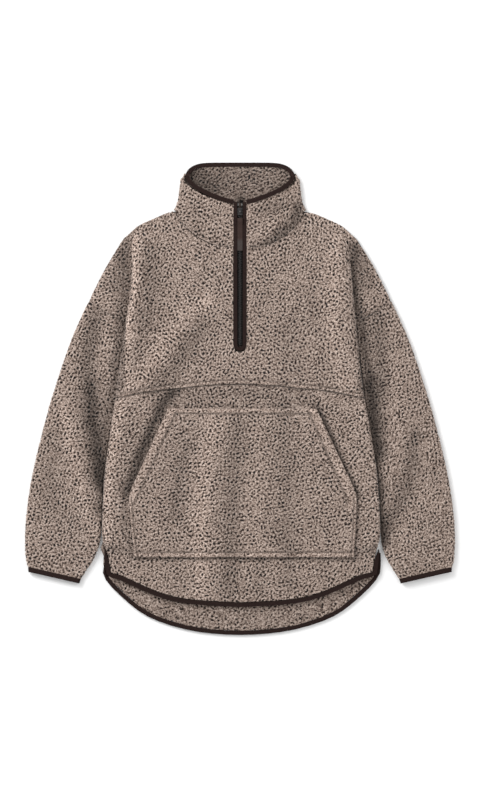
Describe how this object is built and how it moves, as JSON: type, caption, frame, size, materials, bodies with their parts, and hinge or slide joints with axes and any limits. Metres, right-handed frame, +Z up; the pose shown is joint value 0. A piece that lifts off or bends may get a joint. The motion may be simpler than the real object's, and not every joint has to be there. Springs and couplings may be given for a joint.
{
  "type": "quarter-zip pullover",
  "caption": "Curly fleece pullover laid flat, with a stand collar, a quarter zip, dropped shoulders, a kangaroo pocket and a longer rounded back hem, all edges bound in dark tape",
  "frame": {"origin": "centre of the underside, on the surface that the garment lies on", "axes": "+Z up off the surface, +Y from the hem towards the collar, +X towards the garment's left sleeve, on the right in a view from above"},
  "size_m": [0.7534, 0.827, 0.0231],
  "materials": {
    "fleece": "curly teddy fleece in light taupe with dark brown gaps between the curls",
    "binding": "dark brown knitted binding tape, matt, with fine lengthwise ribs",
    "zip_tape": "black-brown woven zip tape",
    "zip_teeth": "black coil teeth, half matt",
    "zip_metal": "black-grey lacquered metal",
    "pull_tape": "dark brown woven tape, folded double"
  },
  "bodies": {
    "garment": {"back_panel": "fleece", "front_yoke": "fleece", "front_lower_panel": "fleece", "kangaroo_pocket": "fleece", "collar": "fleece", "sleeve_left": "fleece", "sleeve_right": "fleece", "collar_binding": "binding", "zip_binding": "binding", "front_hem_binding": "binding", "back_hem_binding": "binding", "cuff_binding_left": "binding", "cuff_binding_right": "binding", "zip_tape_left": "zip_tape", "zip_tape_right": "zip_tape", "zip_chain": "zip_teeth", "zip_slider": "zip_metal", "top_stop_left": "zip_metal", "top_stop_right": "zip_metal"},
    "pull": {"pull_plate": "zip_metal", "pull_tape": "pull_tape"}
  },
  "joints": [
    {"name": "pull_swing", "type": "hinge", "parent": "garment", "child": "pull", "pos_m": [0, 0.329, 0.0184], "axis": [-1, 0, 0], "range_deg": [0, 165]}
  ]
}
